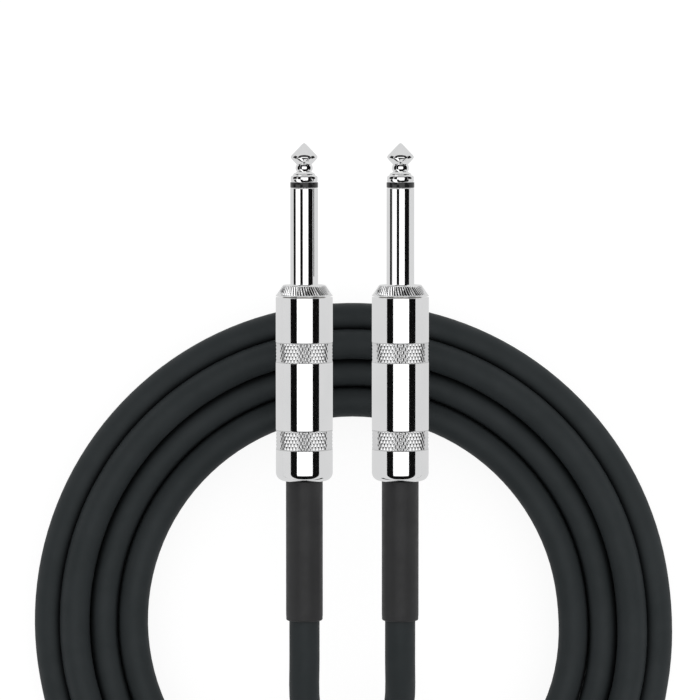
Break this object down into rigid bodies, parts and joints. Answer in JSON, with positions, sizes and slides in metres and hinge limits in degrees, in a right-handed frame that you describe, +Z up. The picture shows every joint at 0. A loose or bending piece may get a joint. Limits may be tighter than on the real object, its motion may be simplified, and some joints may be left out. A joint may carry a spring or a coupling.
{
  "type": "instrument cable",
  "caption": "Flat coil of round black cord with a straight metal two-pole plug on each end, each with a screw-on knurled handle and a strain relief.",
  "frame": {"origin": "middle of the whole object's box, on the surface that the coil lies on", "axes": "+Y along the plugs towards their tips, +Z up from that surface, +X to the right of the plugs seen from above with the tips away"},
  "size_m": [0.1486, 0.1861, 0.031],
  "materials": {
    "jacket": "black PVC jacket, satin",
    "strain_relief": "black strain relief, matt",
    "chrome": "bright nickel and chrome plate",
    "insulator": "black moulded insulator",
    "terminal": "tinned brass terminals",
    "core": "natural core insulation",
    "copper": "bare copper strands",
    "solder": "solder, bright",
    "liner": "milky liner tube",
    "strap": "black hook-and-loop strap"
  },
  "bodies": {
    "root": {"cable_coil": "jacket", "coil_tie": "strap", "cable_lead_a": "jacket", "tip_contact_a": "chrome", "sleeve_contact_a": "chrome", "tip_ring_a": "insulator", "rod_tube_a": "insulator", "rear_washer_a": "insulator", "tip_lug_a": "terminal", "cable_clamp_a": "terminal", "core_insulation_a": "core", "core_conductor_a": "copper", "shield_tail_a": "copper", "solder_tip_a": "solder", "solder_shield_a": "solder", "strain_relief_a": "strain_relief", "cable_lead_b": "jacket", "tip_contact_b": "chrome", "sleeve_contact_b": "chrome", "tip_ring_b": "insulator", "rod_tube_b": "insulator", "rear_washer_b": "insulator", "tip_lug_b": "terminal", "cable_clamp_b": "terminal", "core_insulation_b": "core", "core_conductor_b": "copper", "shield_tail_b": "copper", "solder_tip_b": "solder", "solder_shield_b": "solder", "strain_relief_b": "strain_relief"},
    "liner_a": {"liner_a": "liner"},
    "bushing_a": {"bushing_a": "insulator"},
    "handle_a": {"handle_a": "chrome"},
    "liner_b": {"liner_b": "liner"},
    "bushing_b": {"bushing_b": "insulator"},
    "handle_b": {"handle_b": "chrome"}
  },
  "joints": [
    {"name": "handle_a_draw_back", "type": "slide", "parent": "root", "child": "liner_a", "axis": [0, -0.9979, -0.0654], "range_m": [0, 0.0285]},
    {"name": "handle_a_advance", "type": "slide", "parent": "liner_a", "child": "bushing_a", "axis": [0, -0.9979, -0.0654], "range_m": [0, 0.006]},
    {"name": "handle_a_unscrew", "type": "hinge", "parent": "bushing_a", "child": "handle_a", "pos_m": [-0.01105, 0.0605, 0.02466], "axis": [0, -0.9979, -0.0654], "range_deg": [0, 2160]},
    {"name": "handle_b_draw_back", "type": "slide", "parent": "root", "child": "liner_b", "axis": [0, -0.9979, -0.0654], "range_m": [0, 0.0285]},
    {"name": "handle_b_advance", "type": "slide", "parent": "liner_b", "child": "bushing_b", "axis": [0, -0.9979, -0.0654], "range_m": [0, 0.006]},
    {"name": "handle_b_unscrew", "type": "hinge", "parent": "bushing_b", "child": "handle_b", "pos_m": [0.01105, 0.0605, 0.02466], "axis": [0, -0.9979, -0.0654], "range_deg": [0, 2160]}
  ],
  "couplings": [
    {"joint": "handle_a_advance", "follows": "handle_a_unscrew", "m_per_rad": 0.00015915},
    {"joint": "handle_b_advance", "follows": "handle_b_unscrew", "m_per_rad": 0.00015915}
  ]
}
